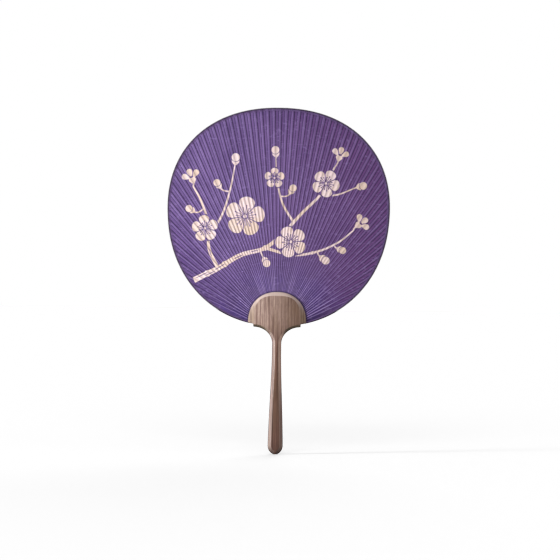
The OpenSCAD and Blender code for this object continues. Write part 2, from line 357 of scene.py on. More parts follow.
# a branch of plum blossom left undyed, drawn for this leaf
pattern = {
    "gap": 0.001,             # width of the dyed line between two petals
    "halo": 0.0013,           # dyed line kept round a blossom where it crosses the branch
    "haloWaist": 0.86,
    "stamenWidth": 0.0008,
    "stalkWidth": 0.0013,
    "slitWidth": 0.0008,
    "petals": 5,
    "petalHalf": 36,
    "petalWaist": 0.66,
    "eye": 0.1,               # this and the next three are over the blossom's radius
    "petalFoot": 0.16,
    "stamenFoot": 0.17,
    "stamens": ((-20, 0.44), (0, 0.54), (20, 0.44)),      # turn off the petal's axis, tip
    "blossoms": [             # x, z, radius, turn
        (-0.036, 0.2535, 0.0212, 10), (0.0135, 0.227, 0.0168, 40), (-0.0785, 0.24, 0.0142, 25),
        (0.05, 0.29, 0.0148, 60), (-0.005, 0.295, 0.0108, 18),
    ],
    "halfOpen": [             # x, z, radius, direction from +X
        (-0.093, 0.2925, 0.0115, 112), (0.086, 0.2465, 0.0112, 35), (0.064, 0.3185, 0.0108, 75),
    ],
    "halfOpenPetals": (-52, 0, 52),
    "halfOpenHalf": 26,
    "halfOpenFoot": 0.3,      # this, the stalks' starts and the cups are over the flower's radius
    "halfOpenStalk": 0.38,
    "halfOpenCup": ((-0.42, -0.1), (-0.1, -0.34), (0.22, -0.26), (0.1, 0.0), (0.22, 0.26),
                    (-0.1, 0.34), (-0.42, 0.1)),
    "buds": [                 # x, z, radius, direction
        (-0.0468, 0.3165, 0.0044, 88), (-0.0045, 0.325, 0.0042, 98), (0.09, 0.288, 0.0041, 15),
        (0.051, 0.2075, 0.0042, -35), (-0.0665, 0.289, 0.0038, 125), (-0.096, 0.261, 0.0038, 150),
        (0.015, 0.2845, 0.0039, 60), (-0.012, 0.2035, 0.004, -60), (0.069, 0.2185, 0.0037, -20),
    ],
    "budStalk": 1.8,
    "budCup": ((-1.9, -0.25), (-1.25, -0.85), (-0.75, -0.95), (-1.15, 0.0), (-0.75, 0.95),
               (-1.25, 0.85), (-1.9, 0.25)),
    "branches": [             # start width, end width, points
        (0.0062, 0.002, [(-0.0895, 0.1845), (-0.078, 0.1905), (-0.064, 0.1975), (-0.04, 0.212),
          (-0.014, 0.22), (0.006, 0.237), (0.025, 0.258), (0.046, 0.28), (0.059, 0.307)]),
        (0.0038, 0.0016, [(-0.064, 0.1975), (-0.074, 0.219), (-0.075, 0.245), (-0.083, 0.269),
          (-0.092, 0.285)]),
        (0.0026, 0.0013, [(-0.0745, 0.23), (-0.06, 0.256), (-0.052, 0.283), (-0.0475, 0.308)]),
        (0.0032, 0.0014, [(-0.014, 0.22), (0.016, 0.213), (0.042, 0.217), (0.064, 0.227), (0.08, 0.24)]),
        (0.0025, 0.0012, [(0.016, 0.248), (0.004, 0.268), (-0.002, 0.292), (-0.004, 0.316)]),
        (0.0023, 0.0012, [(0.043, 0.277), (0.062, 0.278), (0.08, 0.285)]),
    ],
    "slitAside": 1.4,
    "slits": [                # branch, share of its length, side, length: bark lines left in dye
        (0, 0.1, 0.25, 0.016), (0, 0.19, -0.28, 0.012), (0, 0.27, 0.1, 0.014),
        (0, 0.37, -0.2, 0.011), (0, 0.45, 0.15, 0.009), (1, 0.22, 0.0, 0.01), (3, 0.2, 0.0, 0.008),
    ],
    "knots": [                # branch, share of its length, radius over the branch's half width
        (0, 0.16, 1.28), (0, 0.305, 1.35), (0, 0.5, 1.45), (0, 0.66, 1.5), (1, 0.42, 1.5),
        (3, 0.45, 1.5),
    ],
}
pale, dyed = True, False


def smoothPath(points, steps=9):
    # a Catmull-Rom curve through the points
    p = np.array(points, float)
    p = np.vstack([2 * p[0] - p[1], p, 2 * p[-1] - p[-2]])
    made = [0.5 * (2 * b + (c - a) * s + (2 * a - 5 * b + 4 * c - d) * s ** 2
                   + (3 * b - a - 3 * c + d) * s ** 3)
            for a, b, c, d in zip(p[:-3], p[1:-2], p[2:-1], p[3:])
            for s in np.linspace(0, 1, steps, endpoint=False)]
    return np.array(made + [p[-2]])


def turned(points, centre, degrees):
    a = math.radians(degrees)
    p = np.array(points)
    return np.stack([centre[0] + p[:, 0] * math.cos(a) - p[:, 1] * math.sin(a),
                     centre[1] + p[:, 0] * math.sin(a) + p[:, 1] * math.cos(a)], -1)


def disc(centre, radius, count):
    t = np.linspace(0, 2 * math.pi, count, endpoint=False)
    return np.stack([centre[0] + radius * np.cos(t), centre[1] + radius * np.sin(t)], -1)


def petalReach(s):
    # how far a petal reaches at the share s of its half width
    waist = pattern["petalWaist"]
    return waist + (1 - waist) * math.sqrt(1 - s * s)


def petal(radius, inner, spread):
    # one petal along +X, kept off its neighbours by the gap
    def half(r):
        return math.radians(spread) - math.asin(pattern["gap"] / 2 / r)
    waist = half(radius * pattern["petalWaist"])
    rim = [(radius * petalReach(s), s * waist) for s in np.linspace(-1, 1, 13)]
    rim += [(inner, s * half(inner)) for s in (1, 0, -1)]
    return [(r * math.cos(a), r * math.sin(a)) for r, a in rim]


def strip(path, startWidth, endWidth):
    tangent = np.gradient(path, axis=0)
    tangent /= np.hypot(tangent[:, 0], tangent[:, 1])[:, None]
    side = np.stack([-tangent[:, 1], tangent[:, 0]], -1)
    half = np.linspace(startWidth, endWidth, len(path))[:, None] / 2
    return np.vstack([path + side * half, (path - side * half)[::-1]])


def drawBlossom(x, z, radius, turn):
    centre, gap, stamen = (x, z), pattern["gap"], pattern["stamenWidth"]
    eye, foot = radius * pattern["eye"], radius * pattern["stamenFoot"]
    shapes = [(disc(centre, eye, 10), pale), (disc(centre, eye + gap * 0.8, 14), dyed)]
    axes = [turn + 360 / pattern["petals"] * k for k in range(pattern["petals"])]
    for axis in axes:
        for lean, length in pattern["stamens"]:
            line = strip(np.array([(foot, 0), (radius * length, 0)]), stamen * 0.8, stamen)
            tip = turned([(radius * length, 0)], centre, axis + lean)[0]
            shapes += [(turned(line, centre, axis + lean), dyed), (disc(tip, stamen * 0.95, 8), dyed)]
    one = petal(radius, radius * pattern["petalFoot"], pattern["petalHalf"])
    shapes += [(turned(one, centre, axis), pale) for axis in axes]
    halo = []
    for axis in axes:
        for s in np.linspace(-1, 1, 9, endpoint=False):
            r = radius * max(petalReach(s), pattern["haloWaist"]) + pattern["halo"]
            halo += turned([(r, 0)], centre, axis + s * pattern["petalHalf"]).tolist()
    return shapes + [(np.array(halo), dyed)]


def drawStalk(joined, centre, turn, back):
    # from the foot of a bud to the nearest place on a branch, bowed a little
    foot = turned([(-back, 0)], centre, turn)[0]
    root = joined[np.hypot(*(joined - foot).T).argmin()]
    length = np.hypot(*(foot - root))
    if length <= pattern["stalkWidth"]:
        return []
    out = np.array([math.cos(math.radians(turn)), math.sin(math.radians(turn))])
    bow = foot - out * length * 0.45
    share = np.linspace(0, 1, 9)[:, None]
    path = root * (1 - share) ** 2 + bow * 2 * share * (1 - share) + foot * share ** 2
    return [(strip(path, pattern["stalkWidth"] * 1.15, pattern["stalkWidth"]), pale)]


def drawPattern():
    # shapes from the top layer down: (points, pale or dyed)
    shapes, stalks = [], []
    for blossom in pattern["blossoms"]:
        shapes += drawBlossom(*blossom)
    paths = [smoothPath(points) for _, _, points in pattern["branches"]]
    joined = np.vstack(paths)
    for x, z, radius, turn in pattern["halfOpen"]:
        one = petal(radius, radius * pattern["halfOpenFoot"], pattern["halfOpenHalf"])
        shapes += [(turned(one, (x, z), turn + lean), pale) for lean in pattern["halfOpenPetals"]]
        shapes.append((turned(np.array(pattern["halfOpenCup"]) * radius, (x, z), turn), pale))
        stalks += drawStalk(joined, (x, z), turn, radius * pattern["halfOpenStalk"])
    for x, z, radius, turn in pattern["buds"]:
        shapes.append((disc((x, z), radius, 18), pale))
        shapes.append((disc((x, z), radius + pattern["gap"] * 0.6, 18), dyed))
        shapes.append((turned(np.array(pattern["budCup"]) * radius, (x, z), turn), pale))
        stalks += drawStalk(joined, (x, z), turn, radius * pattern["budStalk"])

    def along(branch, share):
        # place, direction and half width at a share of a branch
        startWidth, endWidth, _ = pattern["branches"][branch]
        path = paths[branch]
        k = int(share * (len(path) - 1))
        way = path[k + 1] - path[k]
        return path[k], way / np.hypot(*way), (startWidth + (endWidth - startWidth) * share) / 2
    s = np.linspace(-1, 1, 7)
    width = pattern["slitWidth"] / 2 * (1 - s ** 4)
    for branch, share, side, length in pattern["slits"]:
        place, way, half = along(branch, share)
        centre = place + np.array([-way[1], way[0]]) * half * side * pattern["slitAside"]
        lens = np.concatenate([np.stack([s * length / 2, width], -1),
                               np.stack([s[::-1][1:-1] * length / 2, -width[::-1][1:-1]], -1)])
        shapes.append((turned(lens, centre, math.degrees(math.atan2(way[1], way[0]))), dyed))
    for branch, share, grow in pattern["knots"]:
        place, _, half = along(branch, share)
        shapes.append((disc(place, half * grow, 12), pale))
    shapes += stalks
    for path, (startWidth, endWidth, _) in zip(paths, pattern["branches"]):
        shapes.append((strip(path, startWidth, endWidth), pale))
    return shapes


def inside(points, polygon):
    # even-odd test of many points against one polygon
    x, z = points[:, 0], points[:, 1]
    found = np.zeros(len(points), bool)
    for (ax, az), (bx, bz) in zip(polygon, np.roll(polygon, -1, axis=0)):
        if az != bz:
            crosses = (az > z) != (bz > z)
            found ^= crosses & (x < ax + (z - az) / (bz - az) * (bx - ax))
    return found


sheet = {
    "rows": 40,
    "flankSteps": (0.0, 0.35, 0.7, 1.1),      # lines beside a ridge, as shares of its flank
    "rimFlank": 26,
    "unit": 1000.0,          # the cutting works in millimetres
    "cutTolerance": 1e-4,
}

drape = {
    "share": 0.34,           # part of the gap over which the paper slopes down
    "leastSlope": 0.00002,
    "wander": 0.24,          # how unevenly it was pressed down
    "wanderScale": 70.0,
}


def evenRow(rim):
    return rootRadius + (rim - rootRadius) * np.linspace(0, 1, sheet["rows"] + 1)


def pleatLine(i, side, share):
    # from root to rim beside rib i, at a share of its flank
    def turnAt(r):
        ridge = ribHalf(r) + leaf["paste"]
        away = ridge + share * drape["share"] * (r * gapAngle(i) / 2 - ridge)
        return ribAngle(i) + side * np.arcsin(away / r)
    rim = float(rimRadius(np.array(ribAngle(i))))
    for _ in range(3):
        rim = float(rimRadius(np.array(turnAt(rim))))
    r = evenRow(rim)
    return ray(turnAt(r), r)


def pleatColumns():
    # both flanks of each rib, and the middle of each gap
    columns = []
    for number, i in enumerate(ribs):
        columns += [pleatLine(i, -1, share) for share in sheet["flankSteps"][::-1]]
        columns += [pleatLine(i, 1, share) for share in sheet["flankSteps"]]
        if number < len(ribs) - 1:
            r = evenRow(float(rimRadius(np.array(ribBorders[number]))))
            columns.append(ray(np.full(len(r), ribBorders[number]), r))
    return columns


def flankRim(columns):
    # rim from the outermost column down to the cut at the root, right side
    points = outline(np.radians(np.linspace(-1, -82, 2400)))
    points = points[(points[:, 1] < columns[-1][-1][1] - 0.002) & (points[:, 1] > rootCut)]
    return points[np.linspace(0, len(points) - 1, sheet["rimFlank"]).astype(int)]


def cutSheet(name, columns, flank, shapes):
    # a flat sheet whose mesh follows the pleats and the outlines of the shapes
    unit, rows, extra = sheet["unit"], sheet["rows"] + 1, len(flank)
    points = list(np.vstack(columns) * unit)
    edges = [(c * rows + r, c * rows + r + 1) for c in range(len(columns)) for r in range(rows - 1)]
    rim = [c * rows + rows - 1 for c in range(len(columns))]
    right = [len(points) + k for k in range(extra)]
    left = [k + extra for k in right]
    points += list(flank * unit) + list(flank[::-1] * np.array([-1, 1]) * unit)
    border = left + rim + right
    for polygon, _ in shapes:
        start, count = len(points), len(polygon)
        points += list(polygon * unit)
        edges += [(start + k, start + (k + 1) % count) for k in range(count)]
    made = delaunay_2d_cdt([Vector(p) for p in points], edges, [border[::-1]], 1,
                           sheet["cutTolerance"], False)
    flat = np.array([tuple(v) for v in made[0]]) / unit
    faces = np.array(made[2])
    centres = flat[faces].mean(1)
    bare = np.zeros(len(faces), bool)
    untold = np.ones(len(faces), bool)
    for polygon, tone in shapes:
        low, high = polygon.min(0), polygon.max(0)
        near = np.where(untold & (centres > low).all(1) & (centres < high).all(1))[0]
        hit = near[inside(centres[near], polygon)]
        bare[hit] = tone
        untold[hit] = False
    mesh = newMesh(name, [(x, 0, z) for x, z in flat], faces.tolist())
    facts = pleatFacts(flat)
    for key in facts:
        storeFact(mesh, key, facts[key])
    storeFact(mesh, "bare", bare, "FACE")
    print(name, "cut flat:", len(flat), "points,", len(faces), "faces,", int(bare.sum()), "bare")
    return mesh


reliefSizes = {
    "Ridge Level": ridgeLevel,
    "Valley Level": valleyLevel,
    "Root Dip": leaf["rootDip"],
    "Drape Share": drape["share"],
    "Drape Wander": drape["wander"],
    "Wander Scale": drape["wanderScale"],
}
reliefSockets = [(name, "Float", size) for name, size in reliefSizes.items()]


def step(tree, kind, given, **settings):
    return addNode(tree, "GeometryNode" + kind, given, **settings).outputs[0]


def readFact(tree, name):
    return step(tree, "InputNamedAttribute", {"Name": name}, data_type="FLOAT")


def buildRelief():
    # height of the paper's inner side over the middle plane, and how far down the flank it is
    tree, takes, gives = groupTree("ribRelief", "GeometryNodeTree", reliefSockets,
                                   [("Level", "Float"), ("Fold", "Float")])
    uneven = minus(noise(step(tree, "InputPosition", {}), takes["Wander Scale"], 2.0), 0.5)
    share = timesPlus(uneven, takes["Drape Wander"], takes["Drape Share"])
    ridge = readFact(tree, "ridgeHalf")
    slope = times(minus(readFact(tree, "halfGap"), ridge), share)
    foot = plus(ridge, larger(slope, drape["leastSlope"]))
    fold = ramp(readFact(tree, "across"), ridge, foot)
    dipped = minus(takes["Ridge Level"], takes["Root Dip"])
    low = blendValue(readFact(tree, "nearRoot"), takes["Valley Level"], dipped)
    feedAll(gives, {"Level": blendValue(fold, takes["Ridge Level"], low), "Fold": fold})
    return tree


def foldingTree(title, relief, extra=()):
    # a tree for a mesh that lies flat, with the relief's heights in it
    sockets = [("Geometry", "Geometry"), *extra, *reliefSockets, ("Paper", "Material")]
    tree, takes, gives = groupTree(title, "GeometryNodeTree", sockets, [("Geometry", "Geometry")])
    heights = useGroup(tree, relief, {name: takes[name] for name in reliefSizes})
    return tree, takes, gives, heights


def lifted(tree, geometry, rise):
    return step(tree, "SetPosition", {"Geometry": geometry, "Offset": combine(tree, Y=rise)})


def finishTree(tree, geometry, takes, gives):
    real = step(tree, "RealizeInstances", {"Geometry": geometry})
    feed(gives["Geometry"], step(tree, "SetMaterial", {"Geometry": real, "Material": takes["Paper"]}))


def buildSheetTree(relief):
    # pushes a flat sheet over the ribs and gives it the thickness of paper
    tree, takes, gives, heights = foldingTree(
        "foldSheet", relief, [("Side", "Float", -1.0), ("Paper Thickness", "Float", leaf["paper"])])
    side = takes["Side"]
    kept = step(tree, "StoreNamedAttribute",
                {"Geometry": takes["Geometry"], "Name": "fold", "Value": heights["Fold"]},
                data_type="FLOAT", domain="POINT")
    inner = lifted(tree, kept, times(heights["Level"], side))
    thick = combine(tree, Y=times(takes["Paper Thickness"], side))
    outer = step(tree, "ExtrudeMesh", {"Mesh": inner, "Offset": thick, "Offset Scale": 1.0,
                                       "Individual": False}, mode="FACES")
    both = addNode(tree, "GeometryNodeJoinGeometry")
    for part in (step(tree, "FlipFaces", {"Mesh": inner}), outer):
        feed(both.inputs[0], part)
    closed = step(tree, "MergeByDistance", {"Geometry": both.outputs[0], "Distance": 1e-7})
    # a sheet that grows towards +Y comes out inside out, and is turned
    closed = step(tree, "FlipFaces", {"Mesh": closed, "Selection": calc("GREATER_THAN", side, 0.0)})
    finishTree(tree, step(tree, "SetShadeSmooth", {"Geometry": closed}), takes, gives)
    return tree


def throughTree(name, mesh, tree, given):
    # runs a geometry nodes tree on a mesh and keeps the result as a plain mesh object
    source = addObject(name + "Flat", mesh)
    modifier = setUp(source.modifiers.new("fold", "NODES"), node_group=tree)
    for socket in tree.interface.items_tree:
        if socket.name in given and socket.in_out == "INPUT":
            modifier[socket.identifier] = given[socket.name]
    return evaluated(name, source)


def newMaterial(name, group, **scales):
    # a material with the marks of a shared group in it, at scales of its own
    material = bpy.data.materials.new(name)
    material.use_nodes = True
    tree = material.node_tree
    coords = addNode(tree, "ShaderNodeTexCoord").outputs["Object"]
    marks = useGroup(tree, group, {"Vector": coords, **{k + " Scale": v for k, v in scales.items()}})
    return material, tree, tree.nodes["Principled BSDF"].inputs, coords, marks


def readAttribute(tree, name, output="Fac"):
    return addNode(tree, "ShaderNodeAttribute", attribute_name=name).outputs[output]


def bump(height, distance, strength):
    given = {"Height": height, "Distance": distance, "Strength": strength}
    return addNode(height.id_data, "ShaderNodeBump", given).outputs["Normal"]


fibre = {
    "strands": ((0.5, 0.016), (-0.9, 0.013), (1.9, 0.014)),     # turn in radians, thinness
    "breaks": 210.0,
    "grain": 1500.0,
}


def buildFibreGroup():
    # long mulberry fibres, clouds of thicker pulp and fine grain
    tree, takes, gives = groupTree(
        "paperFibre", "ShaderNodeTree",
        [("Vector", "Vector"), ("Fibre Scale", "Float", 120.0), ("Cloud Scale", "Float", 30.0)],
        [("Fibre", "Float"), ("Cloud", "Float"), ("Grain", "Float")])
    vector = takes["Vector"]
    lines = []
    for turn, width in fibre["strands"]:
        lay = stretch(vector, (0.35, 1, 1), (0, turn, 0))
        field = noise(lay, takes["Fibre Scale"], 1.5, 0.45, 0.6)
        lines.append(ramp(calc("ABSOLUTE", minus(field, 0.5)), width, 0.0))
    strands = larger(larger(lines[0], lines[1]), lines[2])
    feedAll(gives, {
        "Fibre": times(strands, ramp(noise(vector, fibre["breaks"], 2.0), 0.42, 0.62)),
        "Cloud": noise(vector, takes["Cloud Scale"], 4.0, 0.6),
        "Grain": noise(vector, fibre["grain"], 3.0, 0.6)})
    return tree


dye = {
    "deep": srgb(84, 58, 114),
    "mid": srgb(124, 94, 154),
    # pale tone for the fibres, and the painted highlight of the middle, the upper left and the rib
    # crests
    "fibreToneAndHighlight": srgb(152, 128, 184),
    "red": srgb(102, 56, 112),        # painted shade, darker and redder, towards the right
    "blue": srgb(84, 58, 156),        # and bluer where the ribs crowd together
    "shadeAndDyePool": srgb(34, 19, 61),         # painted shade in the valleys and round the handle's head, with dye taken up from rib to rib
    "bare": srgb(232, 208, 210),
    "bareFibre": srgb(212, 184, 152),
    "headShadeWidth": 0.0016,               # width of the painted shade round the handle's head
    # noise along the ribs: scale over angle and distance, detail, roughness, shift
    "streaks": ((260, 22, 1), 3.0, 0.55),
    "uptake": ((50, 7, 1), 2.0, 0.5, (0, 0, 5)),
    "rootRayNoise": ((21, 6, 1), 2.0, 0.6, (4, 0, 2)),
}


def headContactShade(x, z, grainy):
    # painted shade where the handle's head lies on the sheet
    n = handle["lipSquareness"]
    across = calc("POWER", over(calc("ABSOLUTE", x), handle["lipWidth"] / 2), n)
    base = lowerEdge(handle["lipWidth"] / 2)
    above = calc("POWER", larger(over(minus(z, base), handle["lipTop"] - base), 0.0), n)
    shadeSpread = 2 * n * dye["headShadeWidth"] / handle["lipWidth"]
    return ramp(timesPlus(grainy, -shadeSpread * 0.8, plus(across, above)), 1.0 + shadeSpread, 1.0, 0.0, 0.62)


def buildDyedPaper(fibreGroup):
    material, tree, shader, coords, marks = newMaterial("dyedPaper", fibreGroup, Fibre=120.0, Cloud=32.0)
    strands, cloud, grainy = marks
    rays = readAttribute(tree, "rays", "Vector")
    streaks = longNoise(rays, *dye["streaks"])
    tone = plus(times(cloud, 0.55), times(streaks, 0.45))
    # painted light in the middle and at the upper left, deeper dye at the rim, painted shade with a
    # redder tint towards the right side
    x, _, z = split(coords)
    wide = over(x, leaf["width"] / 2)
    high = over(minus(z, leafMid), leaf["height"] / 2)
    out = plus(times(wide, wide), times(high, high))
    # painted light: paler paper in the middle and at the upper left
    litPatch = times(ramp(out, 1.0, 0.1), ramp(tone, 0.3, 0.7, 0.1, 0.34))
    litUpperLeft = ramp(minus(times(high, 0.8), wide), 0.5, 1.2)
    litPatch = larger(litPatch, times(litUpperLeft, ramp(tone, 0.3, 0.7, 0.06, 0.34)))
    lowerLeft = ramp(plus(wide, high), -0.75, -1.3, 0.0, 0.32)
    foot = times(ramp(out, 0.74, 1.02, 0.0, 0.85), ramp(high, -0.35, -0.75))
    deeper = larger(larger(ramp(out, 0.5, 1.1, 0.0, 0.18), lowerLeft), foot)
    # painted shade, darker and redder, towards the right-hand side
    rightShadeTint = ramp(timesPlus(cloud, 0.6, minus(wide, 0.3)), -0.5, 1.0, 0.0, 0.72)
    # painted shade between the ribs, most of all near the roots, and painted highlight on their crests
    near = ramp(split(rays)[1], 0.09, 0.03)
    crowded = times(near, ramp(cloud, 0.4, 0.6, 0.15, 0.8))
    fold = readAttribute(tree, "fold")
    ridge = readAttribute(tree, "ridgeHalf")
    span = minus(readAttribute(tree, "halfGap"), ridge)
    along = over(minus(readAttribute(tree, "across"), ridge), span)
    footShade = times(ramp(along, 0.03, 0.16), ramp(along, 0.66, 0.34))
    footShade = times(footShade, ramp(streaks, 0.25, 0.6, 0.8, 1.0))
    shadeAndDyePool = larger(times(fold, timesPlus(near, 0.8, 0.04)), footShade)
    # from rib to rib the paper took up more dye or less
    uptake = longNoise(rays, *dye["uptake"])
    thirsty = times(ramp(uptake, 0.44, 0.62), timesPlus(near, 0.66, 0.14))
    # light and dark rays near the roots: painted highlight and painted shade of the ribs
    rootRayNoise = longNoise(rays, *dye["rootRayNoise"])
    rootRayShade = times(near, ramp(rootRayNoise, 0.46, 0.58, 0.0, 0.8))
    shadeAndDyePool = larger(shadeAndDyePool, larger(thirsty, rootRayShade))
    crestHighlight = timesPlus(near, 0.35, ramp(streaks, 0.35, 0.75, 0.08, 0.46))
    crestHighlight = plus(crestHighlight, times(near, ramp(rootRayNoise, 0.5, 0.38, 0.0, 0.9)))
    bare = layered(dye["bare"], (times(strands, 0.5), dye["bareFibre"]),
                   (ramp(cloud, 0.35, 0.65, 0.0, 0.6), dye["bareFibre"]))
    colour = layered(
        blend(ramp(tone, 0.3, 0.7), dye["deep"], dye["mid"]),
        (litPatch, dye["fibreToneAndHighlight"]), (deeper, dye["deep"]), (rightShadeTint, dye["red"]), (crowded, dye["blue"]),
        (shadeAndDyePool, dye["shadeAndDyePool"]), (times(minus(1.0, fold), crestHighlight), dye["fibreToneAndHighlight"]),
        (ramp(grainy, 0.6, 0.36, 0.0, 0.24), dye["deep"]), (times(strands, 0.35), dye["fibreToneAndHighlight"]),
        (readAttribute(tree, "bare"), bare), (headContactShade(x, z, grainy), dye["shadeAndDyePool"]))
    feedAll(shader, {
        "Base Color": colour,
        "Roughness": ramp(grainy, 0.3, 0.7, 0.74, 0.9, "LINEAR"),
        "Specular IOR Level": 0.3, "Sheen Weight": 0.12, "Sheen Roughness": 0.5,
        "Normal": bump(plus(times(strands, 0.6), times(grainy, 0.4)), 0.00008, 0.7)})
    return material


fibreGroup = buildFibreGroup()
dyedPaper = buildDyedPaper(fibreGroup)

reliefGroup = buildRelief()
sheetTree = buildSheetTree(reliefGroup)
columns = pleatColumns()
flank = flankRim(columns)
shapes = drawPattern()
print("pattern drawn,", len(shapes), "shapes")

frontPaper = throughTree("frontSheet", cutSheet("frontFlat", columns, flank, shapes), sheetTree,
                         {"Side": -1.0, "Paper": dyedPaper})
backPaper = throughTree("backSheet", cutSheet("backFlat", columns, flank, []), sheetTree,
                        {"Side": 1.0, "Paper": dyedPaper})
for piece, node in ((frontPaper, "front_paper"), (backPaper, "back_paper")):
    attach(piece, "root")
    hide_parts(node)
print("sheets folded:", len(frontPaper.data.polygons), "faces")


binding = {
    "width": 0.003,
    "thickness": 0.00012,
    "paste": 0.00005,
    "tuck": 0.0025,           # how far its ends go into the handle
    "deep": srgb(76, 53, 98),
    "mid": srgb(102, 77, 130),
    "edgeDark": srgb(44, 31, 50),
    "edgeTurn": 4.5 / 14,     # place of the outer edge round the strip's section
    "creases": ((900, 3, 1), 2.0, 0.6),
}


def outward(p, step=0.00001):
    dx = reach(p + [step, 0]) - reach(p - [step, 0])
    dz = reach(p + [0, step]) - reach(p - [0, step])
    length = np.hypot(dx, dz)
    return np.stack([dx / length, dz / length], -1)


def buildBinding(columns, flank, relief, material):
    # rim points and the points they lean towards, from the left end over the top to the right end
    right = flank[flank[:, 0] > handle["lipWidth"] / 2 - binding["tuck"]]
    rims = np.vstack([right[::-1] * [-1, 1], [c[-1] for c in columns], right])
    roots = np.array([columns[0][0]] * len(right) + [c[0] for c in columns]
                     + [columns[-1][0]] * len(right))
    away = roots - rims
    length = np.hypot(away[:, 0], away[:, 1])[:, None]
    inwards = away / length
    out = outward(rims)
    lean = np.maximum(-(inwards * out).sum(1), 0.05)[:, None]
    inner = rims + inwards * np.minimum(binding["width"] / lean, length * 0.8)
    close = leaf["paper"] + binding["paste"]
    full = close + binding["thickness"]
    near = rims + out * binding["paste"]
    edge = near + out * binding["thickness"]
    soft = binding["thickness"] * 0.5
    # ring of the section: place, side of the leaf, height over the sheet's inner side
    front = [(inner, close + soft), (inner + (rims - inner) * 0.12, full), (rims, full),
             (edge - out * soft * 0.5, full - soft), (edge, full - soft * 2.2)]
    under = [(near, close), (inner, close)]
    ring = [(place, side, lift)
            for side, half in ((-1.0, front), (1.0, front[::-1]), (1.0, under[::-1]), (-1.0, under))
            for place, lift in half]
    count, around = len(rims), len(ring)
    flat = np.stack([place for place, _, _ in ring], 1).reshape(-1, 2)
    caps = [tuple(range(around)), tuple((count - 1) * around + k for k in range(around))[::-1]]
    mesh = newMesh("bindingFlat", [(x, 0, z) for x, z in flat], tubeFaces(count, around) + caps)
    # the whole section folds as its rim point does
    facts = pleatFacts(rims * 0.9995 + roots * 0.0005)
    for key in ("across", "ridgeHalf", "halfGap", "nearRoot"):
        storeFact(mesh, key, np.repeat(facts[key], around))
    for number, key in ((1, "layerSide"), (2, "lift")):
        storeFact(mesh, key, np.tile([row[number] for row in ring], count))
    along = np.repeat(np.cumsum(np.hypot(*np.diff(rims, axis=0, prepend=rims[:1]).T)), around)
    turn = np.tile(np.arange(around) / around, count)
    storeFact(mesh, "band", np.stack([along, turn, np.zeros(len(flat))], -1))
    tree, takes, gives, heights = foldingTree("foldBinding", relief)
    rise = times(plus(heights["Level"], readFact(tree, "lift")), readFact(tree, "layerSide"))
    finishTree(tree, lifted(tree, takes["Geometry"], rise), takes, gives)
    return throughTree("rimStrip", mesh, tree, {"Paper": material})


def buildBindingPaper(fibreGroup):
    material, tree, shader, _, marks = newMaterial("bindingPaper", fibreGroup, Fibre=160.0, Cloud=60.0)
    strands, cloud, grainy = marks
    band = readAttribute(tree, "band", "Vector")
    creases = longNoise(band, *binding["creases"])
    tone = plus(times(cloud, 0.6), times(creases, 0.4))
    # the outermost part of the strip, on both sides of the leaf, is darker
    fromEdge = calc("ABSOLUTE", minus(split(band)[1], binding["edgeTurn"]))
    colour = layered(blend(ramp(tone, 0.3, 0.7), binding["deep"], binding["mid"]),
                     (times(strands, 0.3), dye["fibreToneAndHighlight"]),
                     (ramp(fromEdge, 0.232, 0.202, 0.0, 0.85), binding["edgeDark"]))
    feedAll(shader, {
        "Base Color": colour,
        "Roughness": ramp(grainy, 0.3, 0.7, 0.62, 0.82, "LINEAR"),
        "Specular IOR Level": 0.35,
        "Normal": bump(plus(times(creases, 0.7), times(grainy, 0.3)), 0.00012, 0.8)})
    return material


bindingPaper = buildBindingPaper(fibreGroup)
rimStrip = buildBinding(columns, flank, reliefGroup, bindingPaper)
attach(rimStrip, "root")
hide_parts("edge_binding")
print("rim strip folded:", len(rimStrip.data.polygons), "faces")


def stemEdge():
    # right-hand edge from the end of the grip up to the corner of the shoulder
    h = handle
    tip = math.radians(h["tipTurn"])
    turns = [tip + (math.pi / 2 - tip) * k / h["endSteps"] for k in range(h["endSteps"])]
    points = [(h["gripWidth"] / 2 * math.sin(t), h["gripEnd"] * (1 - math.cos(t) / math.cos(tip)))
              for t in turns]
    taper = h["neckHeight"] - h["neckLength"]
    for k in range(h["stemSteps"] + 1):
        u = 1 - k / h["stemSteps"]
        swell = (u + u * u * (3 - 2 * u)) / 2
        points.append((h["neckWidth"] / 2 + (h["gripWidth"] - h["neckWidth"]) / 2 * swell,
                       taper - (taper - h["gripEnd"]) * u))
    for k in range(h["flareSteps"] + 1):
        t = math.radians(90 * k / h["flareSteps"])
        points.append((h["shoulderWidth"] / 2
                       - (h["shoulderWidth"] - h["neckWidth"]) / 2 * math.cos(t),
                       h["neckHeight"] + (h["shoulderHeight"] - h["neckHeight"]) * math.sin(t)))
    return np.array(points)


def handleSection(edge, edgeY, face, faceY):
    # eight corners, from the front face round the right side and back
    right = [(*face, -faceY), (*edge, -edgeY), (*edge, edgeY), (*face, faceY)]
    return ([(x, y, z) for x, z, y in right] + [(-x, y, z) for x, z, y in right[::-1]])


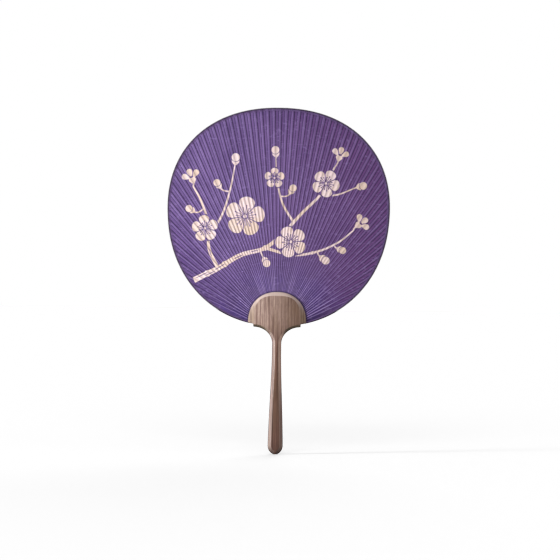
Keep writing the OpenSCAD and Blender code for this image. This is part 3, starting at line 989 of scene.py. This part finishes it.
def handleSections():
    h = handle
    board = h["boardThick"] / 2
    edges = stemEdge()
    stemCount = len(edges)
    sections = []
    for k, edge in enumerate(edges):
        ahead = np.array([1.0, 0.0]) if k == stemCount - 1 else edges[k + 1] - edges[max(k - 1, 0)]
        ahead = ahead / np.hypot(*ahead)
        wide = np.interp(edge[1], [0, h["neckHeight"], h["shoulderHeight"]],
                         [h["gripFacet"], h["neckFacet"], h["shoulderFacet"]])
        face = edge + np.array([-ahead[1], ahead[0]]) * wide
        sections.append(handleSection(edge, board - h["facetDepth"], face, board))
    shoulder = h["shoulderWidth"] / 2
    top = lowerEdge(shoulder)
    faceBase = top + 3 * h["arris"]
    sections.append(handleSection((shoulder, top), board - h["arris"],
                                  (shoulder - h["arris"], top + 2 * h["arris"]), board))
    lipBase = lowerEdge(h["lipWidth"] / 2)
    lipY = leafThickness / 2 + h["kerfFit"] + h["lipEdge"]

    def dome(width, base, top, squareness, t):
        return (width / 2 * math.cos(t) ** (2 / squareness),
                base + (top - base) * math.sin(t) ** (2 / squareness))
    for k in range(h["domeSteps"] + 1):
        t = math.radians(89 * k / h["domeSteps"])
        lip = dome(h["lipWidth"], lipBase, h["lipTop"], h["lipSquareness"], t)
        face = dome(h["shoulderWidth"] - 2 * h["arris"], faceBase, h["faceTop"],
                    h["faceSquareness"], t)
        thick = np.interp(face[1], [faceBase, h["faceTop"]], [board, h["crownThick"] / 2])
        sections.append(handleSection(lip, lipY, face, thick))
    return sections, stemCount


def buildHandle(materials):
    stained, cut = 0, 1
    sections, stemCount = handleSections()
    faces = [(a, d, c, b) for a, b, c, d in tubeFaces(len(sections), 8)]
    # the facets are every second face, but for the step between the stem and the head
    kinds = [cut if k % 2 == 0 and s not in (stemCount - 1, stemCount) else stained
             for s in range(len(sections) - 1) for k in range(8)]
    top = (len(sections) - 1) * 8
    for cap in ((0, 1, 6, 7), (1, 2, 5, 6), (2, 3, 4, 5)):
        faces += [cap[::-1], tuple(top + k for k in cap)]
        kinds += [stained, cut]
    points = [p for section in sections for p in section]
    rough = addObject("handleRough", newMesh("handleRough", points, faces, materials, kinds))
    # the saw cut that takes the leaf
    half = leafThickness / 2 + handle["kerfFit"]
    floor, far, w = rootCut - handle["kerfFloorFit"], 0.25, handle["lipWidth"]
    corners = [(x, y, z) for x in (-w, w) for y in (-half, half) for z in (floor, far)]
    walls = [(0, 1, 3, 2), (4, 6, 7, 5), (0, 4, 5, 1), (2, 3, 7, 6), (0, 2, 6, 4), (1, 5, 7, 3)]
    saw = addObject("sawCut", newMesh("sawCut", corners, walls, materials, [cut] * 6))
    setUp(rough.modifiers.new("cut", "BOOLEAN"), operation="DIFFERENCE", solver="EXACT",
          object=saw, material_mode="TRANSFER")
    setUp(rough.modifiers.new("soften", "BEVEL"), width=handle["softEdge"], segments=2,
          limit_method="ANGLE", angle_limit=math.radians(handle["bevelFrom"]), use_clamp_overlap=True)
    piece = evaluated("carvedHandle", rough)
    bpy.data.objects.remove(saw)
    mesh = piece.data
    mesh.shade_smooth()
    mesh.set_sharp_from_angle(angle=math.radians(handle["sharpFrom"]))
    # how far each corner of the mesh faces up, for the painted shade and highlight
    storeFact(mesh, "facingUp", [normal.vector.z for normal in mesh.corner_normals], "CORNER")
    return piece


# noise scales over X, Y and Z, detail, roughness, shift
grain = {
    "bend": ((35, 35, 14), 1.0),
    "wisps": ((620, 420, 26), 2.0),
    "thin": ((1300, 900, 60), 2.0, 0.5, (3, 5, 7)),
    "wander": ((70, 70, 4), 2.0, 0.5, (1, 2, 9)),
    "broken": ((150, 90, 16), 2.0, 0.5, (8, 4, 6)),
    "fine": ((2600, 2600, 90), 2.0, 0.6),
    "pores": ((4200, 4200, 260), 1.0),
    "mottle": ((85, 85, 20), 3.0, 0.6),
    "rings": 250.0,          # to the metre at the middle of the board
    "ringsCloser": 1560.0,   # and how many more further towards +X
    "lines": 470.0,
}


def buildGrainGroup():
    # straight grain along Z: dark wisps of late wood, fine streaks, pores and a soft mottle
    tree, takes, gives = groupTree(
        "woodGrain", "ShaderNodeTree", [("Vector", "Vector"), ("Wisp Scale", "Float", 1.0)],
        [(name, "Float") for name in ("Wisps", "Fine", "Pores", "Mottle", "Lines")])
    vector, scale = takes["Vector"], takes["Wisp Scale"]
    x, y, z = split(vector)
    bend = longNoise(vector, *grain["bend"])
    way = combine(tree, X=timesPlus(bend, 0.0025, x), Y=y, Z=z)
    wisps = longNoise(way, *grain["wisps"], scale=scale)
    thin = longNoise(way, *grain["thin"], scale=scale)
    # growth rings stand across the board, closer together towards +X, each with a dark late edge
    across = timesPlus(y, 0.3, x)
    rings = times(across, timesPlus(across, grain["ringsCloser"], grain["rings"]))
    wander = longNoise(vector, *grain["wander"])
    rings = calc("FRACT", timesPlus(wander, 1.8, rings))
    late = times(ramp(rings, 0.52, 0.9), ramp(rings, 1.0, 0.95))
    late = times(late, ramp(longNoise(way, *grain["broken"]), 0.3, 0.55, 0.45, 1.0))
    # finer lines between the rings
    between = calc("FRACT", timesPlus(wander, 4.5, times(across, grain["lines"])))
    between = times(ramp(between, 0.4, 0.75), ramp(between, 1.0, 0.85))
    between = times(between, ramp(wisps, 0.36, 0.6, 0.15, 0.85))
    feedAll(gives, {
        "Wisps": larger(ramp(wisps, 0.5, 0.66), times(ramp(thin, 0.5, 0.68), 0.7)),
        "Lines": larger(late, between),
        "Fine": longNoise(way, *grain["fine"]),
        "Pores": ramp(longNoise(way, *grain["pores"]), 0.6, 0.7),
        "Mottle": longNoise(vector, *grain["mottle"])})
    return tree


# dark, middle, light and tan wood, the painted shade of the right-hand side, and the tone by which late
# wood darkens it
wood = {
    "head": tones((98, 66, 54), (189, 160, 147), (210, 182, 169), (156, 130, 106), (108, 80, 60),
                  (188, 173, 171)),
    "stem": tones((60, 33, 25), (126, 87, 71), (154, 115, 98), (108, 80, 59), (82, 54, 42),
                  (160, 140, 134)),
    "cut": tones((138, 118, 104), (176, 153, 144), (204, 181, 174)),
    "lip": tones((122, 96, 74), (158, 133, 114), (180, 155, 138)),
    # painted shade for the right-hand facets of the stem
    "cutShadeRight": srgb(112, 82, 70),
    "cutFresh": srgb(232, 194, 172),
    # painted highlight on faces that look up
    "crown": srgb(235, 210, 200),
    "under": srgb(74, 64, 48),       # painted shade on faces that look down
    "tip": srgb(58, 44, 35),         # painted shade at the end of the grip
    "shade": srgb(56, 38, 31),
}


def woodTone(marks, dark, mid, light, tan, late):
    # colour of the wood from the marks of its grain; late wood darkens it
    brighter = calc("MULTIPLY_ADD", marks["Mottle"], 1.5, -0.55, clamp=True)
    colour = layered(blend(brighter, mid, light),
                     (ramp(marks["Fine"], 0.62, 0.3, 0.0, 0.35), dark),
                     (ramp(marks["Mottle"], 0.52, 0.36, 0.0, 0.6), tan),
                     (times(marks["Wisps"], 0.38), dark))
    return blend(times(marks["Lines"], 0.95), colour, late, "MULTIPLY")


def buildStainedWood(grainGroup):
    material, tree, shader, coords, marks = newMaterial("stainedWood", grainGroup)
    x, _, z = split(coords)
    high = ramp(z, 0.106, 0.15)
    dark, mid, light, tan, rightShadeTone, late = [
        blend(high, low, up) for low, up in zip(wood["stem"], wood["head"])]
    # painted shade over the right-hand side, most of all on the head
    side = timesPlus(marks["Mottle"], 0.01, x)
    shadedRight = times(ramp(side, -0.014, 0.03), ramp(high, 0, 1, 0.35, 0.8))
    mid, light, tan = [blend(shadedRight, tone, rightShadeTone) for tone in (mid, light, tan)]
    # painted shade towards the end of the grip
    colour = layered(woodTone(marks, dark, mid, light, tan, late),
                     (ramp(z, 0.028, 0.002, 0.0, 0.4), wood["stem"][0]),
                     (times(marks["Pores"], 0.35), wood["shade"]))
    height = plus(times(marks["Pores"], 0.6), times(marks["Lines"], 0.4))
    feedAll(shader, {
        "Base Color": colour,
        "Roughness": ramp(marks["Wisps"], 0.1, 0.9, 0.5, 0.64, "LINEAR"),
        "Specular IOR Level": 0.35,
        "Normal": bump(minus(1.0, height), 0.00008, 0.8)})
    return material


def buildCutWood(grainGroup):
    material, tree, shader, coords, marks = newMaterial("cutWood", grainGroup, Wisp=1.3)
    x, _, z = split(coords)
    high = ramp(z, 0.126, 0.14)
    dark, mid, light = [blend(high, low, up) for low, up in zip(wood["cut"], wood["lip"])]
    # on the stem the right-hand facets take painted shade towards the grip, and are paler near the neck
    onStem = minus(1.0, high)
    shadedRight = times(ramp(x, -0.001, 0.003, 0.25, 1.0), ramp(z, 0.11, 0.02, 0.06, 0.5))
    fresh = times(ramp(x, -0.001, 0.003), ramp(z, 0.04, 0.105, 0.0, 0.6))
    facing = readAttribute(tree, "facingUp")
    # painted shade on faces that look down, less of it on the left
    undersideShade = timesPlus(marks["Fine"], 0.25, facing)
    undersideShade = plus(undersideShade, ramp(x, -0.004, -0.012, 0.0, 0.15))
    undersideShade = times(ramp(undersideShade, -0.18, -0.44, 0.0, 0.92), ramp(z, 0.06, 0.1))
    # over the grain: painted shade on the undersides and at the end of the grip, painted highlight on
    # faces that look up
    colour = layered(woodTone(marks, dark, mid, light, mid, wood["head"][-1]),
                     (times(shadedRight, onStem), wood["cutShadeRight"]), (times(fresh, onStem), wood["cutFresh"]),
                     (undersideShade, wood["under"]), (ramp(facing, 0.0, 0.55, 0.0, 0.8), wood["crown"]),
                     (ramp(z, 0.01, 0.001, 0.0, 0.8), wood["tip"]),
                     (times(marks["Pores"], 0.3), wood["shade"]))
    feedAll(shader, {
        "Base Color": colour,
        "Roughness": ramp(marks["Mottle"], 0.3, 0.7, 0.5, 0.66, "LINEAR"),
        "Specular IOR Level": 0.3,
        "Normal": bump(minus(1.0, marks["Pores"]), 0.00006, 0.7)})
    return material


grainGroup = buildGrainGroup()
stainedWood = buildStainedWood(grainGroup)
cutWood = buildCutWood(grainGroup)
carvedHandle = buildHandle([stainedWood, cutWood])
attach(carvedHandle, "root")
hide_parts("handle")
print("handle carved:", len(carvedHandle.data.polygons), "faces")


bambooTones = {
    "skin": srgb(222, 197, 148),
    "fibre": srgb(190, 158, 104),
    "cloud": srgb(166, 136, 88),
}


def buildBamboo(grainGroup):
    material, tree, shader, _, marks = newMaterial("splitBamboo", grainGroup, Wisp=2.0)
    fine = marks["Fine"]
    feedAll(shader, {
        "Base Color": layered(bambooTones["skin"], (ramp(fine, 0.35, 0.7), bambooTones["fibre"]),
                              (times(marks["Mottle"], 0.3), bambooTones["cloud"])),
        "Roughness": ramp(fine, 0.3, 0.7, 0.42, 0.6, "LINEAR"),
        "Normal": bump(fine, 0.00004, 0.6)})
    return material


bamboo = buildBamboo(grainGroup)
for name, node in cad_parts.items():
    if name.startswith("rib_"):
        node.data.materials.clear()
        node.data.materials.append(bamboo)


stage = {
    "floorDrop": 0.0004,
    "floorHalf": 14.0,
    "floorTone": (0.9, 0.9, 0.9, 1),
    "fill": 0.2,
    "lamps": {                # place, aim, size, power, colour
        "key": ((-0.685, -0.365, 0.1), (0.0, 0.0, 0.235), 0.14, 6.3, (0.96, 0.99, 1.0)),
        "front": ((-0.2, -1.6, 0.75), (0.0, 0.0, 0.2), 1.2, 7.0, (1.0, 0.98, 0.95)),
        "back": ((0.45, 1.7, 0.8), (0.0, 0.0, 0.2), 1.2, 6.0, (1.0, 0.99, 0.97)),
    },
}


def buildStage():
    material = bpy.data.materials.new("paleFloor")
    material.use_nodes = True
    feedAll(material.node_tree.nodes["Principled BSDF"].inputs,
            {"Base Color": stage["floorTone"], "Roughness": 0.9})
    h, z = stage["floorHalf"], -stage["floorDrop"]
    corners = [(-h, -h, z), (h, -h, z), (h, h, z), (-h, h, z)]
    mesh = newMesh("floor", corners, [(0, 1, 2, 3)], [material])
    floor = addObject("floor", mesh, is_shadow_catcher=True)


def buildWorld():
    # lights the fan softly, and is white where the camera, glass or a gloss sees it
    world = bpy.data.worlds.new("studio")
    bpy.context.scene.world = world
    world.use_nodes = True
    tree = world.node_tree
    tree.nodes.clear()
    light, seen = [addNode(tree, "ShaderNodeBackground", {"Strength": strength, "Color": (1, 1, 1, 1)})
                   for strength in (stage["fill"], 1.0)]
    path = addNode(tree, "ShaderNodeLightPath").outputs
    direct = larger(larger(path["Is Camera Ray"], path["Is Glossy Ray"]), path["Is Transmission Ray"])
    mix = addNode(tree, "ShaderNodeMixShader", {0: direct, 1: light.outputs[0], 2: seen.outputs[0]})
    addNode(tree, "ShaderNodeOutputWorld", {"Surface": mix.outputs[0]})


def buildLamps():
    for name, (place, target, size, power, colour) in stage["lamps"].items():
        light = setUp(bpy.data.lights.new(name, "AREA"), shape="DISK", size=size, energy=power,
                      color=colour)
        turn = (Vector(target) - Vector(place)).to_track_quat("-Z", "Y").to_euler()
        addObject(name, light, location=place, rotation_euler=turn)


view = {
    "sensor": 36.0,
    "distance": 3.0,
    "centre": (0.0025, 0.186),
    "span": 0.5989,          # metres across the picture at the fan
    "lean": 0.87,            # how far the fan leans to the right in the picture
}


def buildCamera():
    data = setUp(bpy.data.cameras.new("camera"), sensor_width=view["sensor"], clip_end=50,
                 lens=view["sensor"] * view["distance"] / view["span"])
    x, z = view["centre"]
    bpy.context.scene.camera = addObject(
        "camera", data, location=(x, -view["distance"], z),
        rotation_euler=(math.pi / 2, math.radians(-view["lean"]), 0))


buildStage()
buildWorld()
buildLamps()
buildCamera()
bpy.context.scene.view_settings.view_transform = "Standard"
print("stage, light and camera set")
